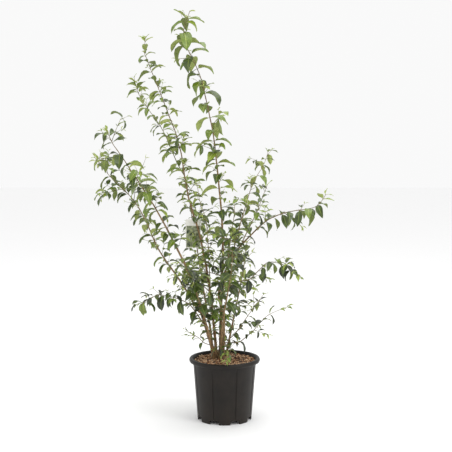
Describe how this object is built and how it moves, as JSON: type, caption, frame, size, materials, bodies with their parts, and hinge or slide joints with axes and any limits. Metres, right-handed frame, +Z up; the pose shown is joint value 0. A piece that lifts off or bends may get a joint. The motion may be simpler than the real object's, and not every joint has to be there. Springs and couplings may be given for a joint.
{
  "type": "potted japanese privet",
  "caption": "Open evergreen shrub of long arching stems with opposite curled leaves, growing in a round black nursery pot filled with bark mulch.",
  "frame": {"origin": "middle of the flat underside of the pot, on the ground plane", "axes": "+Z up along the pot's axis, +Y away from the viewer of the picture, +X to the viewer's right"},
  "size_m": [0.9646, 0.7394, 1.609],
  "materials": {
    "pot_plastic": "matt black moulded plastic",
    "bark_mulch": "loose bark chips",
    "bark": "thin orange-brown bark",
    "leaves": "glossy leaves",
    "card": "printed-blank plastic card"
  },
  "bodies": {
    "root": {"back_foliage": "leaves", "back_left_foliage": "leaves", "back_left_stem": "bark", "back_right_foliage": "leaves", "back_right_stem": "bark", "back_stem": "bark", "care_tag": "card", "far_left_foliage": "leaves", "far_left_stem": "bark", "front_foliage": "leaves", "front_left_foliage": "leaves", "front_left_stem": "bark", "front_stem": "bark", "inner_left_foliage": "leaves", "inner_left_spray_1": "leaves", "inner_left_spray_2": "leaves", "inner_left_spray_3": "leaves", "inner_left_spray_4": "leaves", "inner_left_stem": "bark", "leader_foliage": "leaves", "leader_spray_1": "leaves", "leader_spray_2": "leaves", "leader_spray_3": "leaves", "leader_spray_4": "leaves", "leader_stem": "bark", "left_low_foliage": "leaves", "left_lowest_foliage": "leaves", "middle_foliage": "leaves", "outer_left_foliage": "leaves", "outer_left_spray_1": "leaves", "outer_left_spray_2": "leaves", "outer_left_spray_3": "leaves", "outer_left_stem": "bark", "over_the_rim_foliage": "leaves", "pot": "pot_plastic", "right_arch_foliage": "leaves", "right_arch_spray_1": "leaves", "right_arch_spray_2": "leaves", "right_arch_spray_3": "leaves", "right_arch_spray_4": "leaves", "right_arch_stem": "bark", "right_inner_foliage": "leaves", "right_low_back_foliage": "leaves", "right_low_foliage": "leaves", "right_middle_foliage": "leaves", "right_upper_foliage": "leaves", "root_crown": "bark", "soil": "bark_mulch"}
  },
  "joints": []
}
